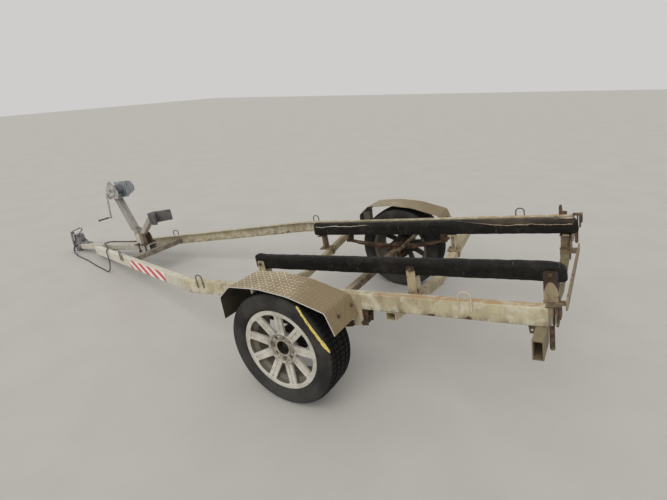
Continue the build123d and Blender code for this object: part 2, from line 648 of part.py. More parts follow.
# Winch post, bow stop
add("post_clamp", post_clamp())
add("winch_post_stub", post_stub())
above = block(2100, 2300, -40, 40, WINCH_Z, WINCH_Z + 60)
add("winch_post", leaning_tube(POST_FOOT, POST_HEAD, POST_S, POST_S, 4.5, POST_LAP, 1.04) - above)
stub_solid = block(POST_STUB_X0, POST_STUB_X1, -30, 30, 240, 420)
add("bow_stop_arm", leaning_tube(STOP_FOOT, STOP_HEAD, ARM_S, ARM_S, 4.0) - stub_solid)
add("bow_stop", bow_stop())
add("winch_frame", winch_frame())
add("winch_gear_case", winch_gear_case())
add("winch_guard", winch_guard())
add("winch_drum", winch_drum())
add("winch_strap", winch_strap())
add("winch_crank", winch_crank())
add("crank_grip", crank_grip())

# Coupler
add("coupler_body", coupler_body())
add("coupler_latch", coupler_latch())
add("coupler_lever", coupler_lever())
add("tow_cable", cable())

low = {n: round(s.bounding_box().min.Z, 3) for n, s in pieces.items()}
box = Compound(children=list(pieces.values())).bounding_box()
print("lowest", {n: z for n, z in low.items() if z < 3})
print("size", box.size, "centre x", round((box.min.X + box.max.X) / 2, 3), len(pieces), "nodes")
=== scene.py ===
# %% [markdown]
# # A boat trailer, parked with its nose on the ground
#
# This script dresses the construction model of a small single-axle boat trailer: two
# steel rails that bend in to a drawbar, two padded bunks, a hand winch on a leaning
# post, tread-plate fenders over cast wheels, and a ball coupler that rests on the floor.
# The construction model stays as it is. Here its pieces get worn finishes, and what is
# soft, patterned or small is modelled new: bunk covers, tyre treads, raised tread plate,
# bolts, hazard tape and a loose cable.

# %% Load the construction model
import json
import math

import bpy
from mathutils import Matrix, Vector

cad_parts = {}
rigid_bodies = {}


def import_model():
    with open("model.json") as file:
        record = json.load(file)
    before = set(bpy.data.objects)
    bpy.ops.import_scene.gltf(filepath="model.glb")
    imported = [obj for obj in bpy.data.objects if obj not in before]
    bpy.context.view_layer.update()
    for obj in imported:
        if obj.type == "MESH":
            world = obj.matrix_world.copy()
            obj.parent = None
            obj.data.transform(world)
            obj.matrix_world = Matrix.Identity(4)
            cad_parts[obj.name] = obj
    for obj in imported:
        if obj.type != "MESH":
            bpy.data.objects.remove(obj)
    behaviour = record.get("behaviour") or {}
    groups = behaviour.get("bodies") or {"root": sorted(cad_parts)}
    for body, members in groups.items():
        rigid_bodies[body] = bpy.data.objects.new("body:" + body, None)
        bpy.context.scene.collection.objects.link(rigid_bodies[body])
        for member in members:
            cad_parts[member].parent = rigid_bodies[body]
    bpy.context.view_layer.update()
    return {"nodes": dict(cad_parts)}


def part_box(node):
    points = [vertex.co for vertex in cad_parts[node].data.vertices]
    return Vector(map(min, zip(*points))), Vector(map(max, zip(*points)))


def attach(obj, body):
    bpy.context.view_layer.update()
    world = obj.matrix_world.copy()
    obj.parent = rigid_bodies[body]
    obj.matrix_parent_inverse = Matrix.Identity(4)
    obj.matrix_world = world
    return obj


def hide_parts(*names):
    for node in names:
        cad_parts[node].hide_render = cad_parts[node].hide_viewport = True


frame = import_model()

nodes = frame["nodes"]

# %% [markdown]
# ## A level frame to think in
#
# The trailer stands nose down, so nothing on it is square to the floor. On a drawing it
# is level, with the middle of the axle as the origin. One matrix turns a place on that
# drawing into a place in the scene, and new pieces are made level and settled with it.

# %% Level frame
PITCH = math.radians(8.69)
AXLE = Vector((-1.000241, 0.0, 0.2975))
LEVEL = Matrix.Translation(AXLE) @ Matrix.Rotation(PITCH, 4, "Y")
UNLEVEL = LEVEL.inverted()
STRAIGHT = Matrix.Identity(4)


def level(x, y, z):
    """A place on the level drawing, in millimetres, as a place in the scene."""
    return LEVEL @ Vector((x / 1000, y / 1000, z / 1000))


print("coupler at", [round(v, 3) for v in level(3105, 0, 203)])

# %% [markdown]
# ## Working with operators
#
# An operator acts on whatever is selected, and a model that has just been loaded is
# selected all over. So each step starts from nothing selected. These helpers do what a
# hand does between two tools: drop the selection, pick one piece, give it a modifier
# and apply it, or settle its place into its mesh so that the object sits at the origin.

# %% Helpers for operators
def mode(name):
    bpy.ops.object.mode_set(mode=name)


def pick(*pieces):
    """Leave only these pieces selected, the last one active; with none, just deselect."""
    if bpy.context.mode != "OBJECT":
        mode("OBJECT")
    bpy.ops.object.select_all(action="DESELECT")
    for piece in pieces:
        piece.select_set(True)
        bpy.context.view_layer.objects.active = piece


def placed(name, data):
    """A new object in the scene round data that is there already."""
    piece = bpy.data.objects.new(name, data)
    bpy.context.scene.collection.objects.link(piece)
    return piece


def named(name):
    """Name the piece that an operator has just added."""
    piece = bpy.context.active_object
    piece.name = name
    piece.data.name = name
    return piece


def turned(degrees, axis):
    return Matrix.Rotation(math.radians(degrees), 4, axis)


def settle(piece, place=STRAIGHT):
    """Put the piece's place into its mesh."""
    pick(piece)
    piece.matrix_world = place @ piece.matrix_world
    bpy.ops.object.transform_apply(location=True, rotation=True, scale=True)
    return piece


def modify(piece, kind, **settings):
    """Add one modifier and apply it."""
    pick(piece)
    step = piece.modifiers.new(kind.lower(), kind)
    for key, value in settings.items():
        setattr(step, key, value)
    bpy.ops.object.modifier_apply(modifier=step.name)


def twin(piece, name, place=STRAIGHT):
    """A copy with its own mesh, moved by a matrix."""
    other = piece.copy()
    other.data = piece.data.copy()
    other.name = other.data.name = name
    bpy.context.scene.collection.objects.link(other)
    other.matrix_world = place @ piece.matrix_world
    return settle(other)


def joined(name, pieces):
    """Several loose pieces as one object."""
    pick(*pieces)
    bpy.ops.object.join()
    return named(name)


def choose(piece, test):
    """In edit mode, select the faces whose middle and normal pass a test."""
    pick(piece)
    mode("EDIT")
    bpy.ops.mesh.select_mode(type="FACE")
    bpy.ops.mesh.select_all(action="DESELECT")
    mode("OBJECT")
    for face in piece.data.polygons:
        face.select = test(face.center, face.normal)
    mode("EDIT")


def tidy(piece, outwards=True):
    """Merge doubles, and turn the faces of a closed shape outwards."""
    pick(piece)
    mode("EDIT")
    bpy.ops.mesh.select_all(action="SELECT")
    bpy.ops.mesh.remove_doubles(threshold=0.00002)
    if outwards:
        bpy.ops.mesh.normals_make_consistent(inside=False)
    mode("OBJECT")


def smooth(piece, angle):
    """Shade smooth, but keep edges that turn by more than an angle in degrees."""
    pick(piece)
    bpy.ops.object.shade_smooth_by_angle(angle=math.radians(angle))


def coat(piece, finish):
    """Put a finish on a piece made here."""
    piece.data.materials.append(finish.material)


def dress(finish, names):
    """Give construction pieces, named in one string, a finish in all their slots."""
    for name in names.split():
        for held in nodes[name].material_slots:
            held.material = finish.material


print("helpers ready")

# %% [markdown]
# ## Shader maths as plain sums
#
# Every finish is worked out from the place on the surface: noise, streaks, and masks
# that say where rust sits. Building that from single nodes is long, so a value in a
# shader is wrapped in a small class. Adding, multiplying or comparing two values then
# adds the Math nodes, and a mask can be written as one line. A colour is written as a
# screen shows it, from 0 to 255, and becomes a shader's colour where it is mixed.

# %% A value that changes over a surface
class Value:
    def __init__(self, finish, socket):
        self.finish, self.socket = finish, socket

    def maths(self, operation, other=0.0, swap=False):
        first, second = (other, self) if swap else (self, other)
        return self.finish.node("ShaderNodeMath", {0: first, 1: second}, operation=operation)

    def __add__(self, other): return self.maths("ADD", other)
    def __radd__(self, other): return self.maths("ADD", other, swap=True)
    def __sub__(self, other): return self.maths("SUBTRACT", other)
    def __rsub__(self, other): return self.maths("SUBTRACT", other, swap=True)
    def __mul__(self, other): return self.maths("MULTIPLY", other)
    def __rmul__(self, other): return self.maths("MULTIPLY", other, swap=True)
    def __truediv__(self, other): return self.maths("DIVIDE", other)
    def __gt__(self, other): return self.maths("GREATER_THAN", other)
    def __lt__(self, other): return self.maths("LESS_THAN", other)
    def __abs__(self): return self.maths("ABSOLUTE")
    def root(self): return self.maths("SQRT")
    def larger(self, other): return self.maths("MAXIMUM", other)
    def smaller(self, other): return self.maths("MINIMUM", other)

    def fade(self, low, high):
        """0 below low, 1 above high, smooth between; low may be above high."""
        return self.finish.node(
            "ShaderNodeMapRange", {"Value": self, "From Min": low, "From Max": high},
            interpolation_type="SMOOTHSTEP")


def paint(red, green, blue):
    """A colour as a screen shows it, 0 to 255, as the linear numbers a shader takes."""
    def linear(v):
        v /= 255
        return v / 12.92 if v <= 0.04045 else ((v + 0.055) / 1.055) ** 2.4
    return (linear(red), linear(green), linear(blue), 1.0)


print("cream paint is", [round(v, 3) for v in paint(196, 190, 170)])


# %% A finish: one material and its nodes
class Finish:
    """A material with one shader, and the place on the surface that its sums start from."""

    def __init__(self, name, **constants):
        self.material = bpy.data.materials.new(name)
        self.material.use_nodes = True
        self.tree = self.material.node_tree
        self.tree.nodes.clear()
        self.shader = self.tree.nodes.new("ShaderNodeBsdfPrincipled")
        output = self.tree.nodes.new("ShaderNodeOutputMaterial")
        self.tree.links.new(self.shader.outputs[0], output.inputs[0])
        self.place = self.node("ShaderNodeTexCoord", out="Object")
        self.give(**constants)

    def node(self, kind, sockets=None, out=0, **settings):
        """Add a node: its settings first, then numbers or links for its sockets."""
        made = self.tree.nodes.new(kind)
        for key, value in settings.items():
            setattr(made, key, value)
        for key, value in (sockets or {}).items():
            if isinstance(value, Value):
                self.tree.links.new(value.socket, made.inputs[key])
            else:
                made.inputs[key].default_value = value
        return Value(self, made.outputs[out])

    def give(self, **sockets):
        """Set or link the shader's own sockets, such as base_color or roughness."""
        for key, value in sockets.items():
            socket = self.shader.inputs[key.replace("_", " ").title().replace("Ior", "IOR")]
            if isinstance(value, Value):
                self.tree.links.new(value.socket, socket)
            else:
                socket.default_value = value

    def mapped(self, turn):
        """The place seen through a matrix that turns and moves it."""
        return self.node("ShaderNodeMapping", {
            "Vector": self.place, "Location": turn.translation, "Rotation": turn.to_euler()})

    def stretched(self, vector, scale):
        return self.node("ShaderNodeVectorMath", {0: vector, 1: scale}, operation="MULTIPLY")

    def parts(self, vector):
        """x, y and z of a vector."""
        made = self.node("ShaderNodeSeparateXYZ", {0: vector})
        outputs = made.socket.node.outputs
        return [Value(self, outputs[i]) for i in range(3)]

    def noise(self, scale, detail=4.0, rough=0.55, vector=None, warp=0.0):
        return self.node("ShaderNodeTexNoise", {
            "Vector": vector or self.place, "Scale": scale, "Detail": detail,
            "Roughness": rough, "Distortion": warp})

    def mix(self, mask, first, second):
        """A colour between two, by a mask from 0 to 1; a plain one is a screen's colour."""
        first, second = (c if isinstance(c, Value) else paint(*c) for c in (first, second))
        return self.node("ShaderNodeMix", {0: mask, 6: first, 7: second}, out=2,
                         data_type="RGBA")

    def tint(self, colour, amount):
        """A colour times a grey number."""
        return self.node("ShaderNodeVectorMath", {0: colour, "Scale": amount},
                         operation="SCALE")

    def bump(self, height, depth, strength):
        """Relief: depth is how far, in metres, a height of 1 stands up."""
        return self.node("ShaderNodeBump", {"Height": height, "Strength": strength,
                                            "Distance": depth})


print("finish class ready")

# %% [markdown]
# ## Camera, light and floor
#
# The camera stands behind the left wheel and looks over the trailer to its coupler,
# through a wide lens. The light is soft and comes from above, at a level where a colour
# looks about as it is written. The floor is plain and pale.

# %% Camera
LENS, CAMERA_AT = 23.69, (-2.153241, 2.151, 1.4885)

camera_data = bpy.data.cameras.new("view")
camera = placed("view", camera_data)
camera_data.sensor_width = 36.0
camera_data.lens = LENS
camera_data.clip_start = 0.05
right, up = Vector((-0.8588, -0.5106, -0.0417)), Vector((0.1552, -0.3370, 0.9286))
back = right.cross(up).normalized()
up = back.cross(right).normalized()
camera.matrix_world = Matrix((
    *((right[i], up[i], back[i], CAMERA_AT[i]) for i in range(3)), (0, 0, 0, 1)))
bpy.context.scene.camera = camera
print("camera looks along", [round(-v, 3) for v in back])

# %% Light and floor
SKY_STRENGTH, SUN_STRENGTH = 0.62, 1.4

world = bpy.data.worlds.new("studio")
bpy.context.scene.world = world
world.use_nodes = True
sky = world.node_tree.nodes["Background"].inputs
sky[0].default_value, sky[1].default_value = (1.0, 0.985, 0.965, 1), SKY_STRENGTH
bpy.context.scene.view_settings.view_transform = "Standard"

sun_data = bpy.data.lights.new("soft_sun", "SUN")
sun_data.energy, sun_data.angle = SUN_STRENGTH, math.radians(50)
sun_data.color = (1.0, 0.975, 0.93)
sun = placed("soft_sun", sun_data)
sun.rotation_euler = Vector((0.12, -0.90, -0.92)).to_track_quat("-Z", "Y").to_euler()

pick()
bpy.ops.mesh.primitive_plane_add(size=60)
floor = named("floor")
concrete = Finish("pale_floor", roughness=0.85)
cloud = concrete.noise(2.5, 6, 0.6)
concrete.give(base_color=concrete.mix(cloud.fade(0.3, 0.7), (186, 184, 180), (190, 188, 184)))
coat(floor, concrete)
print("floor and light ready")

# %% [markdown]
# ## The loose cable
#
# A thin black cable lies along the drawbar, slips over the left arm of the frame to the
# ground and comes up again to the coupler. It is flexible and has a fixed length, so it
# is one smooth curve: the points of its route are the control points of a NURBS spline,
# which rounds them the way a soft cable does. Its thickness is the bevel depth times the
# radius of each point. The radius carries the size here, because Blender adds it to the
# curve's bounding box.

# %% Cable
CABLE_R = 0.0045
AXLE_HEIGHT, MIDDLE_OVER_FLOOR = 297.5, 4.9  # millimetres


def on_floor(x, lift=0.0):
    """Height on the drawing of the cable's middle where it lies on the ground."""
    height = MIDDLE_OVER_FLOOR + lift - AXLE_HEIGHT
    return (height + x * math.sin(PITCH)) / math.cos(PITCH)


ROUTE = [
    (2112.2, -32, 251.7), (2205, -35, 251.7), (2320, -32, 251.7), (2430, -28, 251.8),
    (2525, -31, 252), (2578, -20, 253), (2592, 26, 256), (2552, 56, 255), (2490, 80, 250),
    (2426, 106, 245), (2366, 146, 242), (2322, 187, 243), (2302, 196, 170), (2300, 204, 125),
    (2300, 216, 84), (2326, 222, on_floor(2326, 4)),
    *((x, y, on_floor(x)) for x, y in ((2372, 214), (2430, 202), (2520, 190), (2640, 166),
                                       (2760, 140), (2876, 126), (2968, 112))),
    (3026, 100, on_floor(3026, 14)), (3050, 88, 215), (3054, 66, 236), (3054, 40.1, 236)]

cable_curve = bpy.data.curves.new("tow_cable_black", "CURVE")
cable_curve.dimensions = "3D"
line = cable_curve.splines.new("NURBS")
line.points.add(len(ROUTE) - 1)
for control, stop in zip(line.points, ROUTE):
    control.co = (*level(*stop), 1.0)
    control.radius = CABLE_R
line.order_u = 3
line.use_endpoint_u = True
line.resolution_u = 12
cable_curve.bevel_depth = 1.0
cable_curve.bevel_resolution = 4
cable_curve.use_fill_caps = True
cable = placed("tow_cable_black", cable_curve)
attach(cable, "chassis")
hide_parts("tow_cable")
tuple(level(*ROUTE[0]))
print("cable has", len(ROUTE), "control points")

# %% [markdown]
# ## Old paint on steel
#
# The rails were once cream. Years outdoors have left a grey film, streaks that run down
# the webs, and rust that creeps in from edges and seams in ragged spots. All of that is
# layered: a base colour with a slow change, a darker film by stretched noise, then rust
# where a fine noise passes a threshold. Rust is rough and a little raised, so the same
# mask drives colour, roughness and bump. One function makes each variant, and the masks
# read the level drawing, so a streak runs down the web and not down the scene.

# %% Aged paint
RUST = (94, 62, 42)
RUST_DARK = (58, 42, 34)
GRIME = (96, 88, 74)
CREAM, CREAM_FILM = (190, 181, 151), (152, 141, 113)


def aged_paint(name, colour, film, rust_amount, low_edge=None, marks=None):
    """Paint with film, drips and rust; low_edge is a height where dirt gathers.

    marks is a function that lays more on the paint, under the rust.
    """
    f = Finish(name)
    at = f.mapped(UNLEVEL)
    place = f.parts(at)
    slow = f.noise(2.2, 3, 0.5, at)
    drips = f.noise(1.0, 6, 0.62, f.stretched(at, (38, 38, 7)))
    fine = f.noise(160, 5, 0.6, at)
    spots = f.noise(17, 9, 0.66, at, 0.4)
    pits = f.noise(420, 3, 0.5, at)
    shade = f.mix((slow * 0.7 + drips * 0.5).fade(0.42, 0.78), colour, film)
    shade = f.mix((drips * 0.75 + fine * 0.35).fade(0.62, 0.80) * 0.55, shade, GRIME)
    rust = (spots + fine * 0.16).fade(0.76 - rust_amount, 0.83 - rust_amount)
    if low_edge is not None:
        sinking = place[2].fade(low_edge + 0.030, low_edge)
        shade = f.mix(sinking * drips.fade(0.3, 0.7) * 0.75, shade, GRIME)
        rust = rust.larger((spots + sinking * 0.11 + fine * 0.1).fade(0.74, 0.80))
    halo = (spots + fine * 0.1).fade(0.64 - rust_amount, 0.80 - rust_amount) * 0.35
    shade = f.mix(halo, shade, (150, 112, 78))
    if marks is not None:
        shade = marks(f, place, spots, fine, shade)
    colour_now = f.mix(rust, shade, f.mix(fine.fade(0.4, 0.62), RUST, RUST_DARK))
    colour_now = f.tint(colour_now, 0.90 + pits * 0.2)
    f.give(base_color=colour_now, roughness=rust * 0.3 + drips * 0.25 + 0.45, metallic=0.0,
           normal=f.bump(rust * 0.6 + pits * 0.35 + fine * 0.4, 0.0006, 0.9))
    return f


def facing_up(f, low, high):
    """1 where a surface looks up, 0 on its sides."""
    return f.parts(f.node("ShaderNodeNewGeometry", out="Normal"))[2].fade(low, high)


def rail_marks(f, place, spots, fine, shade):
    """The left arm and both arm tips are painted paler: painted light where daylight falls on
    them. The flanges at the rear are bared to an orange primer.
    """
    x, y = place[:2]
    # Painted light: the left arm from 0.7 m forward, and the tips of both arms, are made paler.
    painted_light = x.fade(0.70, 1.00) * (y > 0.0) * 0.65 + x.fade(1.95, 2.25) * 0.3
    shade = f.mix(painted_light.smaller(0.9), shade, (210, 207, 197))
    bare = x.fade(-0.25, -0.75) * facing_up(f, 0.6, 0.9)
    shade = f.mix(bare * 0.65, shade, (142, 122, 86))
    shade = f.mix(bare * spots.fade(0.38, 0.60) * 0.5, shade, (186, 146, 98))
    chalk = (spots - fine * 0.2).fade(0.44, 0.30) * 0.5
    return f.mix(chalk, shade, (214, 210, 194))


def darker_rear(f, place, spots, fine, shade):
    """The rear member is painted darker towards its rear end."""
    return f.mix((place[0] + spots * 0.1).fade(-0.92, -1.04) * 0.54, shade, (84, 70, 50))


def loop_marks(f, place, spots, fine, shade):
    """Only the loop at the left rear kept its paint; the others are dull brown bar."""
    painted = (place[0] < 0.3) * (place[1] > 0.0)
    return f.mix((1 - painted) * 0.85, shade, (92, 84, 70))


def bracket_marks(f, place, spots, fine, shade):
    """Above the boards' undersides the uprights are black, in an arch at the rear ones."""
    x, y, z = place
    edge = (spots - 0.5) * 0.05 + (fine - 0.5) * 0.02
    across = (abs(x + 1.1065) / 0.0275).smaller(1.2)
    arch = across * across * 0.045
    rear = (x < -0.9) * (z + edge * 0.6).fade(0.215 - arch, 0.223 - arch)
    middle = (x > -0.9) * (x < -0.3) * (z + edge).fade(0.236, 0.244)
    dark = f.mix(fine.fade(0.35, 0.6), (44, 36, 30), (66, 50, 40))
    shade = f.mix((x < -0.9) * 0.30, shade, (88, 72, 52))
    shade = f.mix((x > 0.3) * (y < 0.0) * spots.fade(0.36, 0.5) * 0.8, shade, (84, 66, 48))
    dirt = (z + edge).fade(0.150, 0.120) * 0.5
    shade = f.mix(dirt, shade, (104, 84, 62))
    return f.mix(rear + middle, shade, dark)


def clamp_marks(f, place, spots, fine, shade):
    """A pale plate in front, a brown one behind, and dark bolts and U-bars."""
    x, y = place[:2]
    shade = f.mix((x + (spots - 0.5) * 0.01).fade(2.035, 2.045), shade, (190, 186, 178))
    shade = f.mix((x + (spots - 0.5) * 0.01).fade(2.005, 1.995), shade, (92, 78, 64))
    return f.mix(abs(y) > 0.0385, shade, (76, 68, 60))


def stay_marks(f, place, spots, fine, shade):
    """The right fender's stays never got the cream coat."""
    return f.mix((place[1] < 0.0) * 0.93, shade, (72, 66, 54))


dress(aged_paint("aged_stay_paint", CREAM, CREAM_FILM, 0.06, marks=stay_marks), "fender_stays")
dress(aged_paint("aged_rail_paint", CREAM, CREAM_FILM, 0.03, low_edge=0.155, marks=rail_marks),
      "frame_rail_left frame_rail_right")
dress(aged_paint("aged_member_paint", (188, 176, 145), (142, 130, 103), 0.05, marks=darker_rear),
      "cross_member_front cross_member_middle cross_member_rear")
dress(aged_paint("aged_bracket_paint", (194, 182, 152), (144, 128, 100), 0.11,
                 marks=bracket_marks), "bunk_brackets")
dress(aged_paint("dull_post_zinc", (174, 170, 163), (138, 134, 128), 0.0),
      "winch_post winch_post_stub")
dress(aged_paint("dull_grey_zinc", (190, 186, 176), (152, 147, 138), 0.0),
      "drawbar bow_stop_arm")
dress(aged_paint("bent_bar", (200, 191, 170), (162, 150, 126), 0.04, marks=loop_marks),
      "lashing_loops")
dress(aged_paint("rusty_clamp_paint", (150, 140, 122), (112, 98, 80), 0.03,
                 marks=clamp_marks), "post_clamp")
print("frame, post and brackets painted")

# %% [markdown]
# ## Rust and dark weathered steel
#
# The springs, hangers and U-bolts carry scale: dark brown with lighter flaking patches.
# The axle is dustier, with some old paint left by the left spring, painted paler on its top
# faces than on its sides as a painted highlight. The coupler is a weathered grey and the
# crossbar a dusty brown, both lighter than the springs, and the hubs are dark with grease.

# %% Rusty and dark steel
def bare_rust(name, light, dark, dusty, near_end=None):
    """near_end is the colour of the axle where old paint clings, by the left spring; it is
    stronger on top faces, a painted highlight.
    """
    f = Finish(name, specular_ior_level=0.35)
    at = f.mapped(UNLEVEL)
    patches = f.noise(26, 8, 0.65, at, 0.3)
    grains = f.noise(210, 5, 0.6, at)
    flakes = f.node("ShaderNodeTexVoronoi", {"Vector": at, "Scale": 85.0})
    colour = f.mix(patches.fade(0.40, 0.62), dark, light)
    colour = f.mix((grains * 0.5 + flakes * 0.7).fade(0.55, 0.8) * 0.5, colour, dark)
    colour = f.mix(facing_up(f, 0.35, 1.0) * patches.fade(0.3, 0.6) * 0.45, colour, dusty)
    if near_end is not None:
        painted = f.parts(at)[1].fade(0.02, 0.14) * patches.fade(0.70, 0.50)
        # The old paint is laid on stronger on top faces than on sides: partly a painted
        # highlight.
        colour = f.mix(painted * (0.30 + facing_up(f, 0.4, 0.9) * 0.6), colour, near_end)
    f.give(base_color=colour, roughness=0.72 + grains * 0.25, metallic=0.0,
           normal=f.bump(patches * 0.6 + grains * 0.5 + flakes * 0.3, 0.0012, 0.8))
    return f


dress(bare_rust("rusted_steel", (104, 74, 52), (52, 40, 34), (122, 108, 88)),
      "leaf_spring_left leaf_spring_right spring_hangers axle_u_bolts")
dress(bare_rust("dusty_axle", (124, 108, 90), (78, 66, 54), (146, 132, 112),
                near_end=(178, 166, 140)), "axle_beam axle_struts")
dress(bare_rust("dark_weathered_steel", (148, 146, 147), (96, 96, 99), (164, 158, 150)),
      "coupler_body coupler_latch coupler_lever")
dress(bare_rust("brown_channel", (154, 143, 129), (116, 106, 96), (176, 166, 149)),
      "tongue_crossbar")
dress(bare_rust("rusty_lugs", (112, 92, 70), (66, 54, 44), (140, 126, 102)),
      "rear_brackets rail_tab")
dress(bare_rust("greasy_hub", (50, 44, 36), (30, 27, 22), (70, 62, 50)), "hub_left hub_right")
print("axle, springs and coupler weathered")

# %% [markdown]
# ## Winch metal
#
# The winch is zinc plated: a light grey metal with a dull bloom and brown stains. Its
# guard is darker, a blue-grey paint. What lies behind the crank-side plate is painted
# bluer than the plate itself, as painted shade.

# %% Winch finishes
PLATE_SIDE_Y = 0.0447


def plated(name, bright, bloom, metallic, dirt, behind=None):
    """behind is a bluer colour, painted shade, for all that lies beyond the crank-side plate."""
    f = Finish(name)
    at = f.mapped(UNLEVEL)
    cloudy = f.noise(34, 6, 0.6, at)
    fine = f.noise(300, 4, 0.6, at)
    stains = f.noise(60, 8, 0.7, at, 0.5)
    colour = f.mix(cloudy.fade(0.38, 0.66), bright, bloom)
    colour = f.mix((stains + fine * 0.15).fade(0.60, 0.76) * 0.75, colour, dirt)
    if behind is not None:
        # Painted shade: beyond the crank-side plate the zinc takes the bluer behind colour, with
        # stains on it.
        shade_and_dirt = f.mix(cloudy.fade(0.4, 0.7) * 0.4, behind, dirt)
        colour = f.mix(f.parts(at)[1] < PLATE_SIDE_Y, colour, shade_and_dirt)
    f.give(base_color=colour, roughness=0.42 + cloudy * 0.3, metallic=metallic,
           normal=f.bump(fine * 0.5 + stains * 0.5, 0.0003, 0.8))
    return f


dress(plated("dull_zinc_plate", (190, 188, 184), (154, 151, 148), 0.2, (98, 90, 84),
             behind=(166, 171, 178)), "winch_frame winch_gear_case winch_drum winch_crank")
dress(plated("blue_grey_plate", (144, 148, 151), (116, 119, 123), 0.05, (140, 132, 124)),
      "winch_guard")
print("winch plated")

# %% [markdown]
# ## Cast alloy wheels
#
# The wheel is a cast aluminium one with nine broad grooved spokes. The face was lacquered
# silver. The lacquer has gone chalky, brake dust sits near the hub, and the barrel behind
# the spokes is dull and brown. The inside of the wheel and the stud seats are also painted
# darker, as painted shade. Distance from the axle line gives the dust its place.

# %% Alloy
def wheel_distance(f):
    """A place's x and z from the axle line, its y, and its distance from that line."""
    x, y, z = f.parts(f.place)
    dx, dz = x - AXLE.x, z - AXLE.z
    return dx, y, dz, (dx * dx + dz * dz).root()


STUD_HOLES, HUB_HOLE = 8.0, 0.0360

alloy = Finish("cast_alloy", metallic=0.3)
dx, y, dz, radius = wheel_distance(alloy)
grain = alloy.noise(500, 3, 0.5)
bloom = alloy.noise(18, 6, 0.6)
dust = alloy.noise(45, 7, 0.65)
silver = alloy.mix(bloom.fade(0.35, 0.7), (214, 211, 201), (188, 184, 172))
near_hub = radius.fade(0.115, 0.060) * dust.fade(0.25, 0.62)
silver = alloy.mix(near_hub * 0.7, silver, (112, 99, 82))
depth = abs(y)
across, sideways, upright = alloy.parts(alloy.node("ShaderNodeTexCoord", out="Normal"))
inward = (across * dx + upright * dz) / radius
# Painted shade: inner barrel faces, deep surfaces and faces turned inboard are darkened; the
# barrel itself is a dull brown, the rest darker still.
barrel = inward.fade(-0.20, -0.40) * radius.fade(0.148, 0.154) * depth.fade(0.808, 0.802)
inboard = (sideways * y).fade(-0.10, -0.40)
inside = barrel.larger(depth.fade(0.775, 0.745)).larger(inboard)
behind = alloy.mix(barrel, (66, 61, 52), (104, 98, 86))
silver = alloy.mix(inside * 0.92, silver, behind)
turn = dz.maths("ARCTAN2", dx)
# Painted shade: the eight stud seats are darkened like recesses.
seats = (turn * STUD_HOLES).maths("COSINE").fade(0.10, 0.55)
seats = seats * radius.fade(0.0460, 0.0490) * radius.fade(0.0680, 0.0650)
silver = alloy.mix(seats * 0.65, silver, (74, 66, 54))
silver = alloy.mix(radius.fade(HUB_HOLE, 0.0348), silver, (52, 46, 37))
speckle = (dust + grain * 0.2).fade(0.66, 0.80)
silver = alloy.mix(speckle * 0.5, silver, (120, 108, 94))
alloy.give(base_color=silver, roughness=0.38 + bloom * 0.25 + inside * 0.2,
           normal=alloy.bump(grain, 0.00015, 0.6))
dress(alloy, "rim_left rim_right")
print("wheels dressed")

# %% [markdown]
# ## Tyres
#
# A tyre carries its shape in its section: bead, a full sidewall with fine moulded rings,
# a rounded shoulder, and a nearly flat tread cut by four grooves. The section is extruded
# point by point, spun through one block's angle, the cross cuts are sunk into that piece,
# and then the piece is spun round as copies. The near tyre also carries a smear of
# yellow paint that runs from its shoulder across the sidewall.

# %% Tyre finish
def tyre_finish(name, marked):
    f = Finish(name, metallic=0.0, specular_ior_level=0.25)
    dx, y, dz, radius = wheel_distance(f)
    blotch = f.noise(9, 5, 0.6)
    grit = f.noise(260, 4, 0.6)
    colour = f.mix(blotch.fade(0.35, 0.65), (36, 35, 35), (50, 48, 46))
    resting = (dz + (blotch - 0.5) * 0.1).fade(-0.15, -0.27)
    colour = f.mix(resting * 0.45, colour, (82, 81, 79))
    tread = radius.fade(0.283, 0.292)
    colour = f.mix(tread, colour, (12, 12, 11))
    dusty = (blotch * 0.7 + grit * 0.4).fade(0.50, 0.78)
    colour = f.mix(dusty * (0.24 - tread * 0.18), colour, (100, 97, 91))
    rings = f.node("ShaderNodeMath", {0: radius * 1400.0}, operation="SINE")
    flat_band = radius.fade(0.2135, 0.216) * radius.fade(0.224, 0.2215)
    relief = rings * flat_band * 0.4 + grit * 0.5
    if marked:
        # A line from the shoulder to the edge of the tread, in the plane of the wheel.
        ax, az, bx, bz = -0.114, 0.269, -0.282, 0.076
        length = math.hypot(bx - ax, bz - az)
        ux, uz = (bx - ax) / length, (bz - az) / length
        along = (dx - ax) * ux + (dz - az) * uz
        sag = along * (length - along) * 0.3
        across = (dx - ax) * uz - (dz - az) * ux
        wobble = f.noise(40, 5, 0.65)
        taper = (along * 0.016).smaller((length - along) * 0.075)
        width = 0.0012 + taper + wobble * 0.005
        edge = abs(across - sag + (wobble - 0.5) * 0.008)
        mark = (edge < width) * along.fade(-0.004, 0.004) * (along < length)
        mark = mark * radius.fade(0.2915, 0.2895) * (y > 0.80)
        mark = mark * (f.noise(120, 4, 0.6).fade(0.34, 0.40))
        yellow = f.mix(f.noise(90, 4, 0.6).fade(0.35, 0.65), (200, 180, 92), (222, 205, 124))
        colour = f.mix(mark, colour, yellow)
        relief = relief + mark * 0.6
    f.give(base_color=colour, roughness=0.62 + blotch * 0.25,
           normal=f.bump(relief, 0.0006, 0.8))
    return f


near_tyre_finish = tyre_finish("near_tyre_rubber", True)
far_tyre_finish = tyre_finish("far_tyre_rubber", False)
print("tyre finishes ready")

# %% [markdown]
# ## Black covers and rubber
#
# The bunks are boards wrapped in black sheet, drawn tight and stapled below. It has the
# dull shine of old vinyl, with creases, thin dust and pale scratches, and on the right
# bunk it is torn. The bow stop and the crank's grip are grey rubber, and the winch's
# strap is faded webbing with ribs across it.

# %% Black cover finish
BOARD_TOP = 0.305


